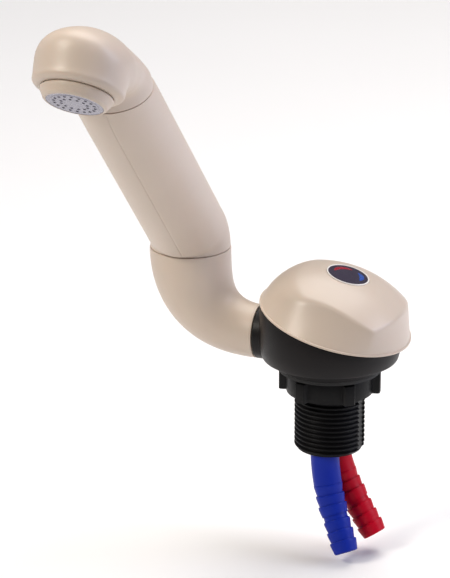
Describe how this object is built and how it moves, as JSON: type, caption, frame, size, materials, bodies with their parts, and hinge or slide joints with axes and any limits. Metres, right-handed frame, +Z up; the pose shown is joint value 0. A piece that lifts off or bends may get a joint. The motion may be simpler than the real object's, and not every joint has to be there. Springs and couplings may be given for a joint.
{
  "type": "mixer tap",
  "caption": "Deck-mounted mixer tap with a faceted dome knob, a black threaded body with two hose tails, and an ivory folding swivel spout with a shower rose.",
  "frame": {"origin": "on the axis of the threaded shank, at the deck, the underside of the body's gasket", "axes": "+Z up along the shank; the outlet points along -X, and in the rest pose the spout's arm leans towards -Y"},
  "size_m": [0.1291, 0.1913, 0.2834],
  "materials": {
    "black_moulding": "fine moulded black plastic, slight sheen",
    "black_nut": "moulded black plastic",
    "blue_moulding": "moulded blue plastic",
    "red_moulding": "moulded red plastic",
    "inner_moulding": "plain moulded plastic, out of sight",
    "ceramic": "lapped ceramic",
    "brass_metal": "turned brass",
    "steel_metal": "plain stainless steel",
    "seal_rubber": "black rubber",
    "ivory_moulding": "satin ivory plastic with a fine grain",
    "bezel_moulding": "pale glossy ring",
    "badge_face": "dark glossy disc with printed red and blue marks",
    "rose_face": "pale grey plastic with small jets"
  },
  "bodies": {
    "root": {"tap_body": "black_moulding", "deck_gasket": "seal_rubber", "cold_tail": "blue_moulding", "hot_tail": "red_moulding", "tail_o_rings": "seal_rubber", "valve_block": "inner_moulding", "cartridge_case": "inner_moulding", "cartridge_seal": "seal_rubber", "fixed_disc": "ceramic", "cartridge_ring": "brass_metal", "outlet_collar": "black_moulding"},
    "washer": {"slip_washer": "black_moulding"},
    "nut": {"mounting_nut": "black_nut"},
    "knob": {"moving_disc": "ceramic", "spindle": "brass_metal", "knob_hub": "inner_moulding", "knob_screw": "steel_metal", "knob_shell": "ivory_moulding", "badge_bezel": "bezel_moulding", "badge_disc": "badge_face"},
    "elbow_body": {"elbow": "ivory_moulding", "elbow_spigot": "inner_moulding", "outlet_o_rings": "seal_rubber", "outlet_clip": "steel_metal"},
    "arm_body": {"spout_arm": "ivory_moulding", "arm_spigot": "inner_moulding", "arm_o_rings": "seal_rubber", "arm_clip": "steel_metal", "water_tube": "inner_moulding", "arm_bearing": "inner_moulding"},
    "head_body": {"spout_head": "ivory_moulding", "head_spigot": "inner_moulding", "head_o_ring": "seal_rubber", "head_clip": "steel_metal", "rose_ring": "ivory_moulding", "rose_plate": "rose_face", "rose_gasket": "seal_rubber", "rose_strainer": "steel_metal"}
  },
  "joints": [
    {"name": "knob_turn", "type": "hinge", "parent": "root", "child": "knob", "pos_m": [0.0023, 0, 0.0245], "axis": [0.2588, 0, 0.9659], "range_deg": [0, 120]},
    {"name": "spout_fold", "type": "hinge", "parent": "root", "child": "elbow_body", "pos_m": [-0.0353, 0, 0.0141], "axis": [-1, 0, 0], "range_deg": [-90, 90]},
    {"name": "arm_swivel", "type": "hinge", "parent": "elbow_body", "child": "arm_body", "pos_m": [-0.0698, 0, 0.0526], "axis": [0, 0, 1], "range_deg": [-150, 60]},
    {"name": "head_swivel", "type": "hinge", "parent": "arm_body", "child": "head_body", "pos_m": [-0.0698, -0.0982, 0.1563], "axis": [0, -0.309, 0.9511], "range_deg": [-60, 60]},
    {"name": "nut_travel", "type": "slide", "parent": "root", "child": "washer", "axis": [0, 0, -1], "range_m": [0, 0.02309]},
    {"name": "nut_turn", "type": "hinge", "parent": "washer", "child": "nut", "pos_m": [0, 0, -0.0059], "axis": [0, 0, -1], "range_deg": [0, 3600]}
  ],
  "couplings": [
    {"joint": "nut_turn", "follows": "nut_travel", "rad_per_m": 2721.2}
  ]
}
